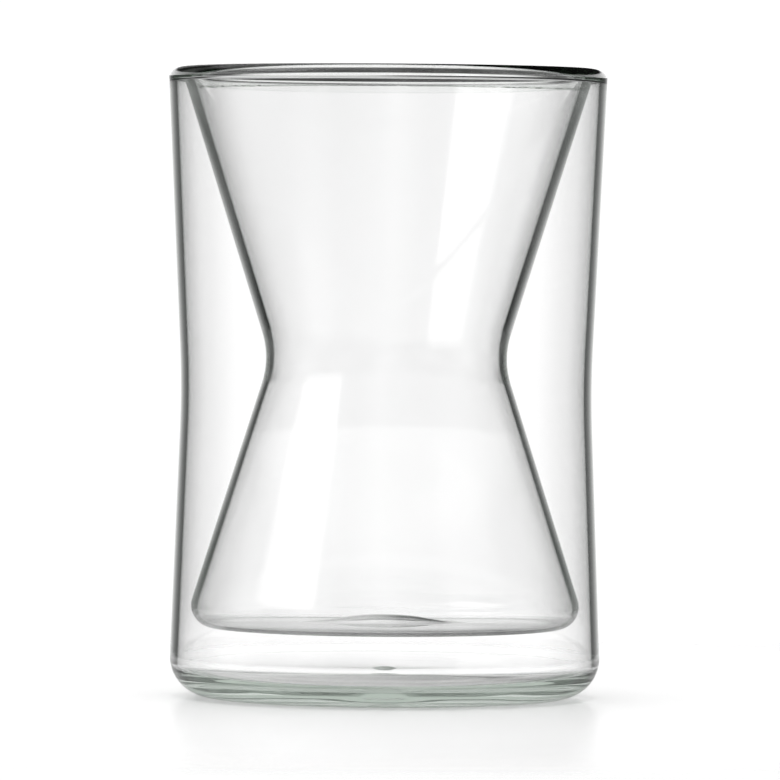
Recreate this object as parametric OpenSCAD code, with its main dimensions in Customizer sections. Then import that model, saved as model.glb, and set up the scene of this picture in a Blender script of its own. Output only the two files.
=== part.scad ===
// Double walled glass cup with an hourglass liner.
// Every piece is a solid of revolution about Z, and the cup stands on z = 0.
// The outer wall is drawn in a little at its waist, and the liner inside it has a cone
// above and a cone below that meet at a narrow neck. The two walls join only at the lip,
// and the air between them is sealed in. The pieces are fused face to face.

/* [Overall] */
// Height from the table to the top of the lip
cup_h = 126.1; // [115:0.1:140]
// Outside diameter across the lip
mouth_d = 88; // [84:0.5:96]

/* [Outer wall] */
// How far in from the lip's edge the upper and the lower taper meet, on each side
waist_inset = 3; // [2:0.1:3.5]
// Height of the waist above the table
waist_h = 61.9; // [50:0.1:72]
// Radius of the soft bend at the waist
waist_bend_r = 200; // [120:10:300]
// How far in from the lip's edge the lower taper would reach the table, on each side
heel_inset = 0.6; // [0:0.1:1.2]
// Thickness of the outer wall
wall_t = 1.5; // [1.1:0.1:1.7]

/* [Base] */
// Radius of the rounded heel
heel_r = 8; // [4:0.5:10]
// Height of the seam where the base is fused to the outer wall
base_seam_h = 12; // [10.5:0.5:14]
// Radius of the heel on the inside, where the thick floor meets the wall
gap_heel_r = 3.4; // [2:0.2:5]
// Thickness of the base's floor
floor_t = 3.9; // [3:0.1:4.5]
// Height of the push-up in the middle of the base
push_up_h = 1.9; // [1.2:0.1:2.6]
// Diameter of the push-up at its top
push_up_top_d = 16; // [12:1:20]
// Width left for the foot ring and the heel, from the push-up's foot to the side
foot_ring_w = 14.5; // [12.5:0.1:17]
// Radius of the bends of the push-up
push_up_bend_r = 60; // [40:5:80]

/* [Vent seal] */
// Diameter of the vent hole, filled by its seal
vent_d = 6; // [4:0.5:8]
// Height of the seal's button on the inside of the base
vent_inner_cap_h = 0.5; // [0.3:0.1:0.8]
// Height of the seal's button on the underside of the base
vent_outer_cap_h = 0.7; // [0.4:0.1:1]

/* [Liner] */
// Inside diameter where the upper and the lower cone meet
neck_d = 43.5; // [40:0.5:46]
// Height of the neck above the table
neck_h = 68.8; // [62:0.2:74]
// Radius of the bend at the neck, on the inside
neck_bend_r = 18; // [12:1:24]
// Height of the liner's floor above the table, on the inside
liner_floor_h = 14.8; // [13.5:0.1:16]
// Distance from the outer wall's inside to the liner's inside, at the liner's floor
belly_inset = 2.4; // [2.1:0.1:4]
// Radius of the corner between the liner's floor and its side, on the inside
belly_r = 3.4; // [2.4:0.2:5]
// Thickness of the liner's floor
liner_floor_t = 0.9; // [0.7:0.1:1.4]
// Thickness of the liner's lower cone
liner_lower_t = 1.25; // [0.9:0.05:1.4]
// Thickness of the liner's upper cone
liner_upper_t = 1.8; // [1.4:0.1:1.9]
// Height of the hump in the middle of the liner's floor
hump_h = 2.6; // [1.6:0.2:3.2]
// Diameter of the hump halfway up its side
hump_d = 18; // [15:0.5:21]
// Run of the hump's side, from its top to its foot
hump_run = 10; // [9:0.5:12]
// Radius of the hump's bends
hump_bend_r = 26; // [15:1:30]

/* [Lip] */
// Width of the lip, from the outer wall to the liner's mouth
lip_w = 4.3; // [4.1:0.1:5]
// Thickness of the lip over the top of the air gap
lip_t = 2.3; // [1.6:0.1:3]
// Radius of the lip's outer edge
lip_outer_r = 2; // [1.4:0.1:2.1]
// Radius of the lip's inner edge
lip_inner_r = 2.3; // [1.8:0.1:2.5]
// Radius of the top of the air gap
gap_top_r = 0.6; // [0.4:0.05:0.65]
// Height of the lip's own glass, from its seams to its top
lip_seam_drop = 4.2; // [3.8:0.1:5.4]

/* [Smoothness] */
// Straight steps in each rounded corner
bend_steps = 20; // [8:1:40]
// Sides of a full turn
round_sides = 180; // [60:10:360]

/* [Hidden] */

$fn = round_sides;

// Overrun of every cut past the glass that it cuts
overrun = 1;

mouth_r = mouth_d / 2;
waist_r = mouth_r - waist_inset;
side_foot_r = mouth_r - heel_inset;
push_up_foot_r = side_foot_r - foot_ring_w;
lip_seam_h = cup_h - lip_seam_drop;
gap_top_h = cup_h - lip_t;
liner_mouth_r = mouth_r - lip_w;
vent_r = vent_d / 2;
hump_top_r = (hump_d - hump_run) / 2;
hump_foot_r = (hump_d + hump_run) / 2;

// Two headings whose cosine is above this count as one straight line
straight_share = 0.999999;

// Unit vector from one point of a path towards the next
function heading(from, to) = let (way = [to.x - from.x, to.y - from.y]) way / norm(way);

// Unit vector to the right of a heading
function rightward(way) = [way.y, -way.x];

// A vector turned by an angle
function turned(v, angle) = [v.x * cos(angle) - v.y * sin(angle), v.x * sin(angle) + v.y * cos(angle)];

// A path is a list of corners, each [radius from the axis, height, bend radius].
// The points of the arc that rounds one corner, on the way from one neighbour to the other
function rounded_corner(before, corner, after) =
    let (
        way_in = heading(before, corner),
        way_out = heading(corner, after),
        side = sign(cross(way_in, way_out)),
        angle = acos(min(way_in * way_out, 1)),
        bend = corner[2],
        inward = -side * rightward(way_in),
        start = [corner.x, corner.y] - way_in * bend * tan(angle / 2),
        centre = start + inward * bend
    )
    [for (i = [0:bend_steps]) centre - turned(inward, side * angle * i / bend_steps) * bend];

// All the points of a path, with its corners rounded
function smoothed(path) = [
    for (i = [0:len(path) - 1])
        each (path[i][2] > 0
            ? rounded_corner(path[i - 1], path[i], path[i + 1])
            : [[path[i].x, path[i].y]])
];

// The path that runs beside another one, to the right of it where a thickness is positive.
// Each stretch of the path has its own thickness, and the bends stay parallel.
function shifted(path, thicknesses) = [
    for (i = [0:len(path) - 1])
        let (
            a = max(i - 1, 0),
            b = min(i, len(thicknesses) - 1),
            way_in = heading(path[a], path[a + 1]),
            way_out = heading(path[b], path[b + 1]),
            n_in = rightward(way_in),
            n_out = rightward(way_out),
            t_in = thicknesses[a],
            t_out = thicknesses[b],
            c = n_in * n_out,
            step = c > straight_share
                ? n_in * t_in
                : (t_in * (n_in - c * n_out) + t_out * (n_out - c * n_in)) / (1 - c * c),
            bend = path[i][2] + sign(cross(way_in, way_out)) * (t_in + t_out) / 2
        )
        [path[i].x + step.x, path[i].y + step.y, path[i][2] > 0 ? max(bend, 0) : 0]
];

// Radius of the straight line through two corners, at a height
function radius_at(a, b, height) = a.x + (b.x - a.x) * (height - a.y) / (b.y - a.y);

// Place of the heel's corner in the outer path
heel_place = 3;

heel_corner = [side_foot_r, 0, heel_r];
waist_corner = [waist_r, waist_h, waist_bend_r];
mouth_corner = [mouth_r, cup_h, 0];

// The outer surface, from the middle of the underside round the heel and up to the mouth
outer_path = [
    [0, push_up_h, 0],
    [push_up_top_d / 2, push_up_h, push_up_bend_r],
    [push_up_foot_r, 0, push_up_bend_r],
    heel_corner,
    waist_corner,
    mouth_corner,
];

// The line beside the outer surface, at the thickness of the floor and then of the wall
outer_inset_path = shifted(outer_path, [-floor_t, -floor_t, -floor_t, -wall_t, -wall_t]);

// The face of the base and the outer wall that looks into the air gap, with its own heel bend
outer_gap_path = [
    for (corner = [0:len(outer_inset_path) - 1])
        corner == heel_place
            ? [outer_inset_path[corner].x, outer_inset_path[corner].y, gap_heel_r]
            : outer_inset_path[corner]
];

side_inner_r = radius_at(outer_gap_path[3], outer_gap_path[4], liner_floor_h);
belly_corner = [side_inner_r - belly_inset, liner_floor_h, belly_r];
neck_corner = [neck_d / 2, neck_h, neck_bend_r];
liner_mouth_corner = [liner_mouth_r, cup_h, 0];

// The inside of the liner, from the hump in its floor round the belly and up to the mouth
liner_path = [
    [0, liner_floor_h + hump_h, 0],
    [hump_top_r, liner_floor_h + hump_h, hump_bend_r],
    [hump_foot_r, liner_floor_h, hump_bend_r],
    belly_corner,
    neck_corner,
    liner_mouth_corner,
];

// The face of the liner that looks into the air gap
liner_gap_path = shifted(
    liner_path,
    [liner_floor_t, liner_floor_t, liner_floor_t, liner_lower_t, liner_upper_t]
);

// The gap's outer and inner side at a height near the lip
function gap_outer_r(height) = radius_at(outer_gap_path[4], outer_gap_path[5], height);
function gap_inner_r(height) = radius_at(liner_gap_path[4], liner_gap_path[5], height);

// Everything on the axis side of a path, up to the height where the path ends
module within(path) {
    points = smoothed(path);
    polygon(concat(points, [[0, points[len(points) - 1].y]]));
}

// A band across the whole cup, from one height to another
module band(from, to) {
    translate([0, from]) square([mouth_d, to - from]);
}

// The outer shell in section, base and wall together
module shell_section() {
    difference() {
        within(outer_path);
        within(outer_gap_path);
    }
}

// Half of a rounded cap in section, with its flat side down
module cap_section(radius, height) {
    sphere_r = (radius * radius + height * height) / (2 * height);
    intersection() {
        translate([0, height - sphere_r]) circle(sphere_r);
        square([radius, height]);
    }
}

// The air gap's rounded top in section, open downwards
module gap_top_section() {
    foot_h = lip_seam_h - overrun;
    polygon(smoothed([
        [gap_outer_r(foot_h), foot_h, 0],
        [gap_outer_r(gap_top_h), gap_top_h, gap_top_r],
        [gap_inner_r(gap_top_h), gap_top_h, gap_top_r],
        [gap_inner_r(foot_h), foot_h, 0],
    ]));
}

// The waisted sleeve between the base's seam and the lip's seam
module outer_wall() {
    color([0.86, 0.91, 0.9, 0.4])
    rotate_extrude()
    intersection() {
        shell_section();
        band(base_seam_h, lip_seam_h);
    }
}

// The base: the rounded heel, the foot ring and the floor with its push-up and vent hole
module base() {
    color([0.8, 0.88, 0.85, 0.5])
    rotate_extrude()
    difference() {
        intersection() {
            shell_section();
            band(0, base_seam_h);
        }
        square([vent_r, base_seam_h]);
    }
}

// The hourglass liner: floor with its hump, lower cone, neck and upper cone
module inner_vessel() {
    color([0.78, 0.86, 0.88, 0.5])
    rotate_extrude()
    intersection() {
        difference() {
            within(liner_gap_path);
            within(liner_path);
        }
        band(0, lip_seam_h);
    }
}

// The lip: the ring of glass in which the two walls are melted together
module rim_seal() {
    color([0.62, 0.7, 0.68, 0.6])
    rotate_extrude()
    difference() {
        polygon(smoothed([
            [radius_at(waist_corner, mouth_corner, lip_seam_h), lip_seam_h, 0],
            [mouth_r, cup_h, lip_outer_r],
            [liner_mouth_r, cup_h, lip_inner_r],
            [radius_at(neck_corner, liner_mouth_corner, lip_seam_h), lip_seam_h, 0],
        ]));
        gap_top_section();
    }
}

// The vent seal: the plug of glass that closes the base, with a low button on each side
module vent_seal() {
    color([0.6, 0.7, 0.66, 0.7])
    translate([0, 0, push_up_h])
    rotate_extrude() {
        square([vent_r, floor_t]);
        translate([0, floor_t]) cap_section(vent_r, vent_inner_cap_h);
        mirror([0, 1]) cap_section(vent_r, vent_outer_cap_h);
    }
}

outer_wall();
base();
inner_vessel();
rim_seal();
vent_seal();
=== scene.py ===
"""Looks for the double walled glass cup: five pieces of clear glass on a pale table in a bright studio."""
import math

import bpy
from mathutils import Matrix, Vector


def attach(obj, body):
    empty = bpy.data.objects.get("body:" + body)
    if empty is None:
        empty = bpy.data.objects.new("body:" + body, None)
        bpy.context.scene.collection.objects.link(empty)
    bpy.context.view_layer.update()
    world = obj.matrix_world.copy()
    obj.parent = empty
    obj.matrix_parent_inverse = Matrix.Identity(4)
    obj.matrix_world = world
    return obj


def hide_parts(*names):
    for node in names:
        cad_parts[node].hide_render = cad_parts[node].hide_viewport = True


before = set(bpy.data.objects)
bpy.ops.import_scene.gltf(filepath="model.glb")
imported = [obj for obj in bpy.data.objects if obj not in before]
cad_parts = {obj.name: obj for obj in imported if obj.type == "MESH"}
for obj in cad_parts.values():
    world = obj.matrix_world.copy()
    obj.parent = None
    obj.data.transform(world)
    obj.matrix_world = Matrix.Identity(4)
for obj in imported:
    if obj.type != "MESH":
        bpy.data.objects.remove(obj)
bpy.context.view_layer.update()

# Sizes in millimetres, the same ones that the solids are built from
MM = 0.001

# Overall
CUP_H = 126.1  # from the table to the top of the lip
MOUTH_D = 88  # across the lip, outside

# Outer wall
WAIST_INSET = 3  # how far in from the lip's edge the two tapers meet
WAIST_H = 61.9
WAIST_BEND_R = 200
HEEL_INSET = 0.6  # how far in the lower taper would reach the table
WALL_T = 1.5

# Base
HEEL_R = 8
GAP_HEEL_R = 3.4  # the heel on the inside, where the thick floor meets the wall
BASE_SEAM_H = 12  # where the base is fused to the outer wall
FLOOR_T = 3.9
PUSH_UP_H = 1.9
PUSH_UP_TOP_D = 16
FOOT_RING_W = 14.5  # from the foot of the push-up to the side
PUSH_UP_BEND_R = 60

# Vent seal
VENT_D = 6
VENT_INNER_CAP_H = 0.5
VENT_OUTER_CAP_H = 0.7

# Liner
NECK_D = 43.5
NECK_H = 68.8
NECK_BEND_R = 18
LINER_FLOOR_H = 14.8
BELLY_INSET = 2.4  # from the outer wall's inside to the liner's inside
BELLY_R = 3.4
LINER_FLOOR_T = 0.9
LINER_LOWER_T = 1.25
LINER_UPPER_T = 1.8
HUMP_H = 2.6
HUMP_D = 18  # at half its height
HUMP_RUN = 10  # width of the slope round the hump
HUMP_BEND_R = 26

# Lip
LIP_W = 4.3
LIP_T = 2.3
LIP_OUTER_R = 2
LIP_INNER_R = 2.3
GAP_TOP_R = 0.6
LIP_SEAM_DROP = 4.2  # how far under the lip's top both walls are fused to it

# Places that follow from the sizes
MOUTH_R = MOUTH_D / 2
SIDE_FOOT_R = MOUTH_R - HEEL_INSET
LIP_SEAM_H = CUP_H - LIP_SEAM_DROP
GAP_TOP_H = CUP_H - LIP_T
LINER_MOUTH_R = MOUTH_R - LIP_W
VENT_R = VENT_D / 2
VENT_TOP = PUSH_UP_H + FLOOR_T

# How finely the pieces are turned
BEND_STEPS = 30  # lengths round a bend of a profile
CAP_STEPS = 10  # lengths from a cap's rim to its middle
TURN_STEPS = 192  # lengths round the cup
STRAIGHT_STEP = 2.0  # longest length on a straight, in millimetres
RAIL_R = 10  # circle that carries a profile round, any size, in millimetres
WELD_D = 0.001  # points this near are made one at the poles, in millimetres
SEAM_SLACK = 0.002  # a face this near a seam's place is part of it, in millimetres
SHARP_ANGLE = 40  # edges with a sharper turn than this, in degrees, stay sharp
STRAIGHT_ON = 0.999999  # cosine above which two stretches are one straight


def heading(a, b):
    """Unit vector from one corner of a path towards the next."""
    run, rise = b[0] - a[0], b[1] - a[1]
    length = math.hypot(run, rise)
    return run / length, rise / length


def shifted(path, thicknesses):
    """The path beside another one, to its right where a thickness is positive, with parallel bends."""
    made = []
    for i, corner in enumerate(path):
        a, b = max(i - 1, 0), min(i, len(thicknesses) - 1)
        way_in, way_out = heading(path[a], path[a + 1]), heading(path[b], path[b + 1])
        n_in, n_out = (way_in[1], -way_in[0]), (way_out[1], -way_out[0])
        t_in, t_out = thicknesses[a], thicknesses[b]
        c = n_in[0] * n_out[0] + n_in[1] * n_out[1]
        if c > STRAIGHT_ON:
            step = [n * t_in for n in n_in]
        else:
            step = [
                (t_in * (p - c * q) + t_out * (q - c * p)) / (1 - c * c)
                for p, q in zip(n_in, n_out)
            ]
        turn = way_in[0] * way_out[1] - way_in[1] * way_out[0]
        bend = corner[2] + math.copysign(1, turn) * (t_in + t_out) / 2 if corner[2] > 0 else 0
        made.append((corner[0] + step[0], corner[1] + step[1], max(bend, 0)))
    return made


def radius_at(a, b, height):
    """Radius of the straight line through two corners, at a height."""
    return a[0] + (b[0] - a[0]) * (height - a[1]) / (b[1] - a[1])


# Both walls as paths of corners, each (radius, height, bend radius), from the axis to the lip.
# A stretch has the number of the corner where it starts: LOWER is the lower taper or cone, UPPER the other.
LOWER, UPPER = 3, 4
OUTER = [
    (0, PUSH_UP_H, 0),
    (PUSH_UP_TOP_D / 2, PUSH_UP_H, PUSH_UP_BEND_R),
    (SIDE_FOOT_R - FOOT_RING_W, 0, PUSH_UP_BEND_R),
    (SIDE_FOOT_R, 0, HEEL_R),
    (MOUTH_R - WAIST_INSET, WAIST_H, WAIST_BEND_R),
    (MOUTH_R, CUP_H, 0),
]
OUTER_GAP = shifted(OUTER, [-FLOOR_T, -FLOOR_T, -FLOOR_T, -WALL_T, -WALL_T])
OUTER_GAP[LOWER] = (*OUTER_GAP[LOWER][:2], GAP_HEEL_R)
LINER = [
    (0, LINER_FLOOR_H + HUMP_H, 0),
    ((HUMP_D - HUMP_RUN) / 2, LINER_FLOOR_H + HUMP_H, HUMP_BEND_R),
    ((HUMP_D + HUMP_RUN) / 2, LINER_FLOOR_H, HUMP_BEND_R),
    (radius_at(OUTER_GAP[LOWER], OUTER_GAP[UPPER], LINER_FLOOR_H) - BELLY_INSET, LINER_FLOOR_H, BELLY_R),
    (NECK_D / 2, NECK_H, NECK_BEND_R),
    (LINER_MOUTH_R, CUP_H, 0),
]
LINER_GAP = shifted(LINER, [LINER_FLOOR_T] * 3 + [LINER_LOWER_T, LINER_UPPER_T])


def on_path(path, stretch, height, bend=0):
    """The corner where a stretch of a path crosses a height."""
    return radius_at(path[stretch], path[stretch + 1], height), height, bend


def cap(radius, height, base_h, side):
    """The corners of a rounded button, from its rim to the axis, as a fine arc."""
    r = (radius ** 2 + height ** 2) / (2 * height)
    half = math.asin(radius / r)
    angles = [half * (1 - k / CAP_STEPS) for k in range(1, CAP_STEPS + 1)]
    return [(r * math.sin(a), base_h + side * (height - r + r * math.cos(a)), 0) for a in angles]


# Each piece as (closed round?, corners). The corners run anticlockwise, seen with the axis on the left.
PROFILES = {
    # The sleeve: up its outside past the waist, and down its inside
    "outer_wall": (True, [
        on_path(OUTER, LOWER, BASE_SEAM_H),
        OUTER[UPPER],
        on_path(OUTER, UPPER, LIP_SEAM_H),
        on_path(OUTER_GAP, UPPER, LIP_SEAM_H),
        OUTER_GAP[UPPER],
        on_path(OUTER_GAP, LOWER, BASE_SEAM_H),
    ]),
    # The closed end: out from the vent along the underside, round the heel, and back over the floor
    "base": (True, [
        (VENT_R, PUSH_UP_H, 0),
        *OUTER[1:UPPER],
        on_path(OUTER, LOWER, BASE_SEAM_H),
        on_path(OUTER_GAP, LOWER, BASE_SEAM_H),
        *OUTER_GAP[LOWER:0:-1],
        (VENT_R, VENT_TOP, 0),
    ]),
    # The liner: out and up the side that faces the gap, and down the side that holds the drink
    "inner_vessel": (False, [
        *LINER_GAP[:UPPER + 1],
        on_path(LINER_GAP, UPPER, LIP_SEAM_H),
        on_path(LINER, UPPER, LIP_SEAM_H),
        *LINER[UPPER::-1],
    ]),
    # The lip: over the top from the outer wall to the liner, and back over the top of the gap
    "rim_seal": (True, [
        on_path(OUTER, UPPER, LIP_SEAM_H),
        (MOUTH_R, CUP_H, LIP_OUTER_R),
        (LINER_MOUTH_R, CUP_H, LIP_INNER_R),
        on_path(LINER, UPPER, LIP_SEAM_H),
        on_path(LINER_GAP, UPPER, LIP_SEAM_H),
        on_path(LINER_GAP, UPPER, GAP_TOP_H, GAP_TOP_R),
        on_path(OUTER_GAP, UPPER, GAP_TOP_H, GAP_TOP_R),
        on_path(OUTER_GAP, UPPER, LIP_SEAM_H),
    ]),
    # The plug: its button under the base, the side that fills the hole, and its button in the gap
    "vent_seal": (False, [
        *cap(VENT_R, VENT_OUTER_CAP_H, PUSH_UP_H, -1)[::-1],
        (VENT_R, PUSH_UP_H, 0),
        (VENT_R, VENT_TOP, 0),
        *cap(VENT_R, VENT_INNER_CAP_H, VENT_TOP, 1),
    ]),
}

# Where each piece has faces that are fused to a neighbour's
SEAMS = {
    "outer_wall": {"Lower seam height": BASE_SEAM_H * MM, "Upper seam height": LIP_SEAM_H * MM},
    "base": {"Upper seam height": BASE_SEAM_H * MM, "Seam radius": VENT_R * MM},
    "inner_vessel": {"Upper seam height": LIP_SEAM_H * MM},
    "rim_seal": {"Lower seam height": LIP_SEAM_H * MM},
    "vent_seal": {"Seam radius": VENT_R * MM},
}
NO_SEAM = -1.0  # a height and a radius that no face has


def node(tree, kind, inputs=(), **settings):
    """Adds one node. An input is named or counted, and takes a value, a socket or a node's first output."""
    made = tree.nodes.new(kind)
    for name, value in settings.items():
        setattr(made, name, value)
    live = [socket for socket in made.inputs if socket.enabled]
    for key, value in dict(inputs).items():
        socket = live[key] if isinstance(key, int) else next(one for one in live if one.name == key)
        if isinstance(value, bpy.types.Node):
            value = next(output for output in value.outputs if output.enabled)
        if isinstance(value, bpy.types.NodeSocket):
            tree.links.new(value, socket)
        else:
            socket.default_value = value
    return made


def turning_tree():
    """Geometry Nodes that round a profile's corners, divide its straights and turn it about Z."""
    tree = bpy.data.node_groups.new("turned glass", "GeometryNodeTree")
    inputs = {
        "Profile": ("NodeSocketGeometry", None),
        "Bend steps": ("NodeSocketInt", BEND_STEPS),
        "Turn steps": ("NodeSocketInt", TURN_STEPS),
        "Straight step": ("NodeSocketFloat", STRAIGHT_STEP * MM),
        "Rail radius": ("NodeSocketFloat", RAIL_R * MM),
        "Lower seam height": ("NodeSocketFloat", NO_SEAM),
        "Upper seam height": ("NodeSocketFloat", NO_SEAM),
        "Seam radius": ("NodeSocketFloat", NO_SEAM),
        "Glass": ("NodeSocketMaterial", None),
        "Seam": ("NodeSocketMaterial", None),
    }
    for name, (kind, value) in inputs.items():
        socket = tree.interface.new_socket(name=name, in_out="INPUT", socket_type=kind)
        if value is not None:
            socket.default_value = value
    tree.interface.new_socket(name="Piece", in_out="OUTPUT", socket_type="NodeSocketGeometry")
    given = node(tree, "NodeGroupInput").outputs

    # Each corner is rounded by its own radius
    curve = node(tree, "GeometryNodeMeshToCurve", {"Mesh": given["Profile"]})
    bend = node(tree, "GeometryNodeInputNamedAttribute", {"Name": "bend"}, data_type="FLOAT")
    rounded = node(tree, "GeometryNodeFilletCurve", {
        "Curve": curve, "Count": given["Bend steps"], "Radius": bend,
    }, mode="POLY")

    # Each straight is cut into short lengths, by its own distance from one point to the next
    place = node(tree, "GeometryNodeInputPosition")
    index = node(tree, "GeometryNodeInputIndex")
    points = node(tree, "GeometryNodeAttributeDomainSize", {"Geometry": rounded}, component="CURVE")
    following = node(tree, "ShaderNodeMath", {0: index, 1: 1}, operation="ADD")
    wrapped = node(tree, "ShaderNodeMath", {
        0: following, 1: points.outputs["Point Count"],
    }, operation="MODULO")
    ahead = node(tree, "GeometryNodeFieldAtIndex", {
        "Value": place, "Index": wrapped,
    }, data_type="FLOAT_VECTOR")
    span = node(tree, "ShaderNodeVectorMath", {0: place, 1: ahead}, operation="DISTANCE")
    cuts = node(tree, "ShaderNodeMath", {0: span, 1: given["Straight step"]}, operation="DIVIDE")
    divided = node(tree, "GeometryNodeSubdivideCurve", {"Curve": rounded, "Cuts": cuts})

    # The profile goes round on a circle, which leaves its faces looking inwards until they are flipped
    rail = node(tree, "GeometryNodeCurvePrimitiveCircle", {
        "Resolution": given["Turn steps"], "Radius": given["Rail radius"],
    })
    turned = node(tree, "GeometryNodeCurveToMesh", {"Curve": rail, "Profile Curve": divided})
    welded = node(tree, "GeometryNodeMergeByDistance", {"Geometry": turned, "Distance": WELD_D * MM})
    outward = node(tree, "GeometryNodeFlipFaces", {"Mesh": welded})

    # The glass is smooth, with sharp edges only round its seams
    angle = node(tree, "GeometryNodeInputMeshEdgeAngle")
    sharp = node(tree, "FunctionNodeCompare", {
        "A": angle, "B": math.radians(SHARP_ANGLE),
    }, operation="GREATER_THAN")
    smooth = node(tree, "GeometryNodeSetShadeSmooth", {"Geometry": outward})
    edged = node(tree, "GeometryNodeSetShadeSmooth", {
        "Geometry": smooth, "Selection": sharp, "Shade Smooth": False,
    }, domain="EDGE")

    # A face is fused to a neighbour where it lies at the height or the radius of a seam
    flat = node(tree, "ShaderNodeVectorMath", {0: place, 1: (1, 1, 0)}, operation="MULTIPLY")
    reach = node(tree, "ShaderNodeVectorMath", {0: flat}, operation="LENGTH")
    height = node(tree, "ShaderNodeSeparateXYZ", {0: place}).outputs["Z"]
    fused = False
    for measure, name in (
        (height, "Lower seam height"), (height, "Upper seam height"), (reach, "Seam radius"),
    ):
        here = node(tree, "FunctionNodeCompare", {
            "A": measure, "B": given[name], "Epsilon": SEAM_SLACK * MM,
        }, operation="EQUAL")
        fused = node(tree, "FunctionNodeBooleanMath", {0: fused, 1: here}, operation="OR")
    real = node(tree, "GeometryNodeRealizeInstances", {"Geometry": edged})
    glass = node(tree, "GeometryNodeSetMaterial", {"Geometry": real, "Material": given["Glass"]})
    piece = node(tree, "GeometryNodeSetMaterial", {
        "Geometry": glass, "Selection": fused, "Material": given["Seam"],
    })
    node(tree, "NodeGroupOutput", {"Piece": piece})
    return tree


def turned_piece(name, tree, glass, seam):
    """One piece as a plain mesh, turned from its profile."""
    closed, corners = PROFILES[name]
    profile = bpy.data.meshes.new(name + "_profile")
    points = [((radius - RAIL_R) * MM, -height * MM, 0) for radius, height, bend in corners]
    edges = [(k, k + 1) for k in range(len(points) - 1)]
    if closed:
        edges.append((len(points) - 1, 0))
    profile.from_pydata(points, edges, [])
    bends = profile.attributes.new("bend", "FLOAT", "POINT")
    bends.data.foreach_set("value", [bend * MM for radius, height, bend in corners])
    piece = bpy.data.objects.new(name + "_glass", profile)
    bpy.context.scene.collection.objects.link(piece)
    turning = piece.modifiers.new("turned", "NODES")
    turning.node_group = tree
    sockets = {
        socket.name: socket.identifier
        for socket in tree.interface.items_tree if socket.in_out == "INPUT"
    }
    for key, value in {"Glass": glass, "Seam": seam, **SEAMS[name]}.items():
        turning[sockets[key]] = value
    finished = piece.evaluated_get(bpy.context.evaluated_depsgraph_get())
    mesh = bpy.data.meshes.new_from_object(finished)
    mesh.name = name + "_glass"
    piece.modifiers.clear()
    piece.data = mesh
    return piece


def linear(hex_colour):
    """A hex colour as linear red, green, blue and alpha."""
    parts = [int(hex_colour[k:k + 2], 16) / 255 for k in (1, 3, 5)]
    return (*[p / 12.92 if p <= 0.04045 else ((p + 0.055) / 1.055) ** 2.4 for p in parts], 1)


# Clear borosilicate glass, drawn, blown and fire polished, with no scratch, grain or tint of its own
CLEAR = {"Base Color": linear("#FFFFFF"), "Roughness": 0, "IOR": 1.47, "Transmission Weight": 1}
SMOKE_COLOUR = linear("#BCC4BC")
LIP_SMOKE = 45


def new_material(name):
    """An empty node material and its tree."""
    made = bpy.data.materials.new(name)
    made.use_nodes = True
    made.node_tree.nodes.clear()
    return made, made.node_tree


def glass_material(name, shader, look, smoke=0):
    """One shader on the glass's faces, with smoke inside the glass where the flame has left some."""
    made, tree = new_material(name)
    ends = {"Surface": node(tree, shader, look)}
    if smoke:
        ends["Volume"] = node(tree, "ShaderNodeVolumeAbsorption", {"Color": SMOKE_COLOUR, "Density": smoke})
    node(tree, "ShaderNodeOutputMaterial", ends)
    return made


# The walls, the liner and the base: all that the eye gets is the room bent through them, and a dark
# line where a wall is seen edge on
blown = glass_material("blown borosilicate glass", "ShaderNodeBsdfPrincipled", CLEAR)

# The lip, melted in the flame until both walls ran together: a faint smoke in the thick ring makes it
# read darker and greener than the walls
melted = glass_material("flame-melted borosilicate glass", "ShaderNodeBsdfPrincipled", CLEAR, LIP_SMOKE)

# The plug of the vent hole, melted shut last: as clear as the base round it, and seen only because its
# rounded faces bend the light
plug = glass_material("flame-melted borosilicate plug", "ShaderNodeBsdfPrincipled", CLEAR)

# The faces where two pieces were melted into one: there is no face there any more, so nothing shows
seam = glass_material("fused seam in blown glass", "ShaderNodeBsdfTransparent", {})
lip_seam = glass_material("fused seam in melted glass", "ShaderNodeBsdfTransparent", {}, LIP_SMOKE)

# The five pieces, two of them made in the flame
FUSED = {"rim_seal": (melted, lip_seam), "vent_seal": (plug, seam)}
tree = turning_tree()
for name in PROFILES:
    piece = turned_piece(name, tree, *FUSED.get(name, (blown, seam)))
    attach(piece, "root")
    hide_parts(name)

# Table, in metres: a round top that fades into the white backdrop, a hair under the foot so that no
# faces meet
TABLE_R = 0.24
TABLE_FADE_R = 0.15
TABLE_SIDES = 128
TABLE_DROP = 0.05 * MM
table_mesh = bpy.data.meshes.new("floor")
table_turns = [2 * math.pi * k / TABLE_SIDES for k in range(TABLE_SIDES)]
table_mesh.from_pydata(
    [(TABLE_R * math.cos(a), TABLE_R * math.sin(a), -TABLE_DROP) for a in table_turns],
    [], [list(range(TABLE_SIDES))])
table = bpy.data.objects.new("floor", table_mesh)
bpy.context.scene.collection.objects.link(table)

# White lacquer, sprayed and rubbed down: an even pale grey white with a soft sheen, which mirrors the
# foot of the cup only faintly
lacquer, lacquer_tree = new_material("white lacquered table")
top = node(lacquer_tree, "ShaderNodeBsdfPrincipled", {"Base Color": linear("#D0D0D0"), "Roughness": 0.35})
spot = node(lacquer_tree, "ShaderNodeTexCoord").outputs["Object"]
from_cup = node(lacquer_tree, "ShaderNodeVectorMath", {0: spot}, operation="LENGTH")
fade = node(lacquer_tree, "ShaderNodeMapRange", {
    "Value": from_cup, "From Min": TABLE_FADE_R, "From Max": TABLE_R,
}, interpolation_type="SMOOTHSTEP")
gone = node(lacquer_tree, "ShaderNodeBsdfTransparent")
shown = node(lacquer_tree, "ShaderNodeMixShader", {0: fade, 1: top, 2: gone})
node(lacquer_tree, "ShaderNodeOutputMaterial", {"Surface": shown})
table_mesh.materials.append(lacquer)

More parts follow.
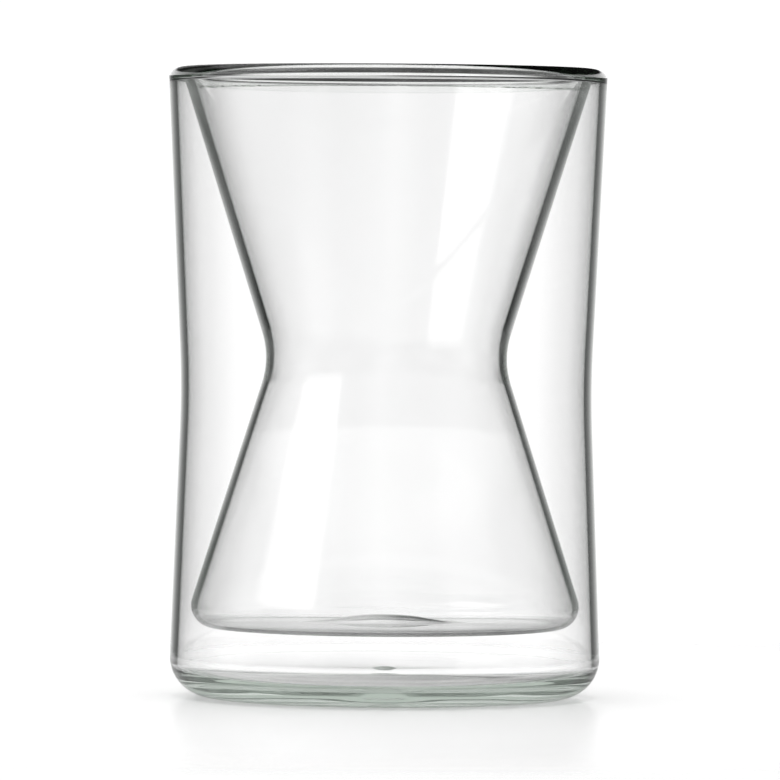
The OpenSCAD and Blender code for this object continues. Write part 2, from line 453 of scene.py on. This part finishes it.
# Room: straight through the glass a ray meets a white backdrop over dark cards, mirrored in the glass it
# meets lit and black cards, and after a long way inside thick glass an even pale green
WHITE = 1.05  # what the camera sees beside the cup
BACKDROP = 1.17
BACKDROP_TOP = 0.6
DARK_CARD = 0.08  # low on the walls, seen through the glass
TABLE_BEHIND_GLASS = 0.37
TABLE_IN_MIRROR = 0.4
CEILING = 0.9
BLACK_CARD = 0.02  # high on the right, which darkens the right end of the lip
SOFTBOX = 2.4  # at the camera's left, whose strips run down the cones
DEEP_GLASS = linear("#B6C1B8")
TABLE_SHEEN = 1.7  # what the table mirrors
TABLE_LIGHT = 1.7  # what the table is lit by

# Brightness of the cards by how many degrees a ray is off the nearest of the four walls' middles
CORNER = 45
LEVEL_CARDS = {
    0: 0.95, 6: 0.93, 9: 0.72, 12: 0.52, 16: 0.33, 20: 0.2, 24: 0.11, 28: 0.07, 34: 0.1, CORNER: 0.2,
}
UPPER_CARDS = {
    0: 0.85, 8: 0.6, 12: 0.4, 16: 0.28, 20: 0.2, 24: 0.05, 28: 0.02, 32: 0.05, 38: 0.25, CORNER: 0.3,
}
LOWER_CARDS = {0: 0.5, 8: 0.5, 16: 0.4, 24: 0.1, 28: 0, CORNER: 0}
UNDER_BACKDROP = {0: DARK_CARD, 24: DARK_CARD, 32: BACKDROP, CORNER: BACKDROP}

world = bpy.data.worlds.new("studio")
bpy.context.scene.world = world
world.use_nodes = True
studio = world.node_tree
studio.nodes.clear()

# Where a ray heads: how high, how far round from straight ahead, and how far off the nearest wall's middle
ray = node(studio, "ShaderNodeTexCoord").outputs["Generated"]
heads = node(studio, "ShaderNodeSeparateXYZ", {0: ray}).outputs
rise = node(studio, "ShaderNodeMath", {0: heads["Z"]}, operation="ARCSINE")
bearing = node(studio, "ShaderNodeMath", {0: heads["X"], 1: heads["Y"]}, operation="ARCTAN2")
unsigned = node(studio, "ShaderNodeVectorMath", {0: ray}, operation="ABSOLUTE")
parts = node(studio, "ShaderNodeSeparateXYZ", {0: unsigned}).outputs
less = node(studio, "ShaderNodeMath", {0: parts["X"], 1: parts["Y"]}, operation="MINIMUM")
more = node(studio, "ShaderNodeMath", {0: parts["X"], 1: parts["Y"]}, operation="MAXIMUM")
off = node(studio, "ShaderNodeMath", {0: less, 1: more}, operation="ARCTAN2")
off_share = node(studio, "ShaderNodeMath", {0: off, 1: math.radians(CORNER)}, operation="DIVIDE")
sideways = node(studio, "ShaderNodeMath", {0: parts["X"], 1: parts["Y"]}, operation="GREATER_THAN")
backwards = node(studio, "ShaderNodeMath", {0: heads["Y"], 1: 0}, operation="LESS_THAN")

# What a ray has been through. Its counts are whole, so each limit lies half way between two of them
ONCE, OFTEN = 0.5, 3.5
seen = node(studio, "ShaderNodeLightPath").outputs
mirrored = node(studio, "ShaderNodeMath", {0: seen["Glossy Depth"], 1: ONCE}, operation="GREATER_THAN")
deep = node(studio, "ShaderNodeMath", {0: seen["Glossy Depth"], 1: OFTEN}, operation="GREATER_THAN")
unmirrored = node(studio, "ShaderNodeMath", {0: seen["Glossy Depth"], 1: ONCE}, operation="LESS_THAN")
scattered = node(studio, "ShaderNodeMath", {0: seen["Diffuse Depth"], 1: ONCE}, operation="GREATER_THAN")
table_lit = node(studio, "ShaderNodeMath", {0: scattered, 1: unmirrored}, operation="MULTIPLY")
bounced = node(studio, "ShaderNodeMath", {
    0: seen["Is Glossy Ray"], 1: seen["Is Transmission Ray"],
}, operation="SUBTRACT", use_clamp=True)


def grey(level):
    """A brightness as a colour."""
    return (level, level, level, 1)


def within(*edges, rays=1):
    """A mask for part of the room. Each edge is a direction, its empty degrees and its full degrees."""
    mask = rays
    for direction, empty, full in edges:
        edge = node(studio, "ShaderNodeMapRange", {
            "Value": direction, "From Min": math.radians(empty), "From Max": math.radians(full),
        }, interpolation_type="SMOOTHSTEP")
        mask = node(studio, "ShaderNodeMath", {0: mask, 1: edge}, operation="MULTIPLY")
    return mask


def layered(under, *layers):
    """Light over light: each layer is a mask and the light that shows where the mask is full."""
    for mask, light in layers:
        under = node(studio, "ShaderNodeMix", {"Factor": mask, "A": under, "B": light}, data_type="RGBA")
    return under


def fading(levels):
    """A brightness that changes with a ray's angle off the nearest wall's middle."""
    ramp = node(studio, "ShaderNodeValToRGB", {0: off_share})
    stops = ramp.color_ramp.elements
    for degrees in list(levels)[1:-1]:
        stops.new(degrees / CORNER)
    for stop, level in zip(stops, levels.values()):
        stop.color = grey(level)
    return ramp


# Parts of the room. X is the sine of the angle off the middle, and near the middle that angle itself
in_corner = within((off, 28, 34))
above_level = within((rise, 2, 6))
below_level = within((rise, -7, -11))
far_below = within((rise, -32, -40))
overhead = within((rise, 32, 40))
high_right = within((rise, 6, 12), (heads["X"], -5.73, 5.73))
in_softbox = within((rise, 20, 25), (rise, 53, 48), (bearing, -136, -131), (bearing, -88, -96))
under_backdrop = within((rise, -8, -11))
down_on_table = within((rise, -34, -40))
backdrop_top = within((rise, 4, 8))
table_sheen = within((rise, 1.4, 2.2), (rise, 14, 10), rays=bounced)


def cards(levels, beside, behind):
    """Cards on the four walls, dimmer at the sides and behind, which meet alike at the room's corners."""
    share = layered(
        grey(1),
        (backwards, grey(behind)),
        (sideways, grey(beside)),
        (in_corner, grey(1)),
    )
    return node(studio, "ShaderNodeMix", {
        "Factor": 1, "A": fading(levels), "B": share,
    }, data_type="RGBA", blend_type="MULTIPLY")


# What the glass mirrors, which draws the dark lines of the walls and the bright strips on the cones
mirror = layered(
    cards(LEVEL_CARDS, beside=0.35, behind=0.15),
    (above_level, cards(UPPER_CARDS, beside=0.7, behind=0.45)),
    (below_level, cards(LOWER_CARDS, beside=0.6, behind=0.1)),
    (far_below, grey(TABLE_IN_MIRROR)),
    (overhead, grey(CEILING)),
    (high_right, grey(BLACK_CARD)),
    (in_softbox, grey(SOFTBOX)),
    (deep, DEEP_GLASS),
)

# What is seen straight through the glass
through = layered(
    grey(BACKDROP),
    (under_backdrop, fading(UNDER_BACKDROP)),
    (down_on_table, grey(TABLE_BEHIND_GLASS)),
    (backdrop_top, grey(BACKDROP_TOP)),
)

# All of it, with the table's own sheen and light
room = layered(
    through,
    (mirrored, mirror),
    (table_sheen, grey(TABLE_SHEEN)),
    (table_lit, grey(TABLE_LIGHT)),
)
lit = node(studio, "ShaderNodeBackground", {"Color": room})
white = node(studio, "ShaderNodeBackground", {"Color": grey(1), "Strength": WHITE})
world_light = node(studio, "ShaderNodeMixShader", {0: seen["Is Camera Ray"], 1: lit, 2: white})
node(studio, "ShaderNodeOutputWorld", {"Surface": world_light})

# A broad soft lamp overhead, in metres and watts, which lights the table and shows in no glass
LAMP_D = 2.4
LAMP_H = 2.0
LAMP_POWER = 20
lamp_data = bpy.data.lights.new("overhead", "AREA")
lamp_data.shape = "DISK"
lamp_data.size = LAMP_D
lamp_data.energy = LAMP_POWER
lamp = bpy.data.objects.new("overhead", lamp_data)
lamp.location = (0, 0, LAMP_H)
lamp.visible_glossy = False
lamp.visible_transmission = False
lamp.visible_camera = False
bpy.context.scene.collection.objects.link(lamp)

# Camera at the photograph's angle: 1.5 m off, level with the cup's upper half, and rolled a touch. The
# photograph's own points are in its pixels, each as wide as PIXEL at the cup's axis, and the rest in metres.
PHOTO_SIDE = 780
PHOTO_AXIS_X = 386.3
PHOTO_FOOT_Y = 697
PIXEL = 0.2005 * MM
DISTANCE = 1.5
CAMERA_H = 0.0944
ROLL = math.radians(0.38)
SENSOR_W = 36
CLIP_END = 20
AIM_X = (PHOTO_SIDE / 2 - PHOTO_AXIS_X) * PIXEL
AIM_H = (PHOTO_FOOT_Y - PHOTO_SIDE / 2) * PIXEL
camera_data = bpy.data.cameras.new("camera")
camera_data.sensor_width = SENSOR_W
camera_data.lens = SENSOR_W * DISTANCE / (PHOTO_SIDE * PIXEL)
camera_data.clip_end = CLIP_END
camera = bpy.data.objects.new("camera", camera_data)
camera.location = (AIM_X, -math.sqrt(DISTANCE ** 2 - (CAMERA_H - AIM_H) ** 2), CAMERA_H)
aim = Vector((AIM_X, 0, AIM_H)) - camera.location
turn = aim.to_track_quat("-Z", "Y").to_matrix().to_4x4()
camera.rotation_euler = (turn @ Matrix.Rotation(ROLL, 4, "Z")).to_euler()
bpy.context.scene.collection.objects.link(camera)
bpy.context.scene.camera = camera

# Light goes many times through the walls and round inside the thick heel before it is given up
GLASS_BOUNCES = 100
scene = bpy.context.scene
scene.view_settings.view_transform = "Standard"
scene.view_settings.look = "None"
scene.cycles.max_bounces = GLASS_BOUNCES
scene.cycles.transmission_bounces = GLASS_BOUNCES
scene.cycles.glossy_bounces = GLASS_BOUNCES
scene.cycles.diffuse_bounces = 3
scene.cycles.transparent_max_bounces = 32
scene.cycles.caustics_refractive = True
scene.cycles.caustics_reflective = True
scene.cycles.blur_glossy = 0.0
scene.cycles.sample_clamp_indirect = 10
scene.cycles.use_denoising = True
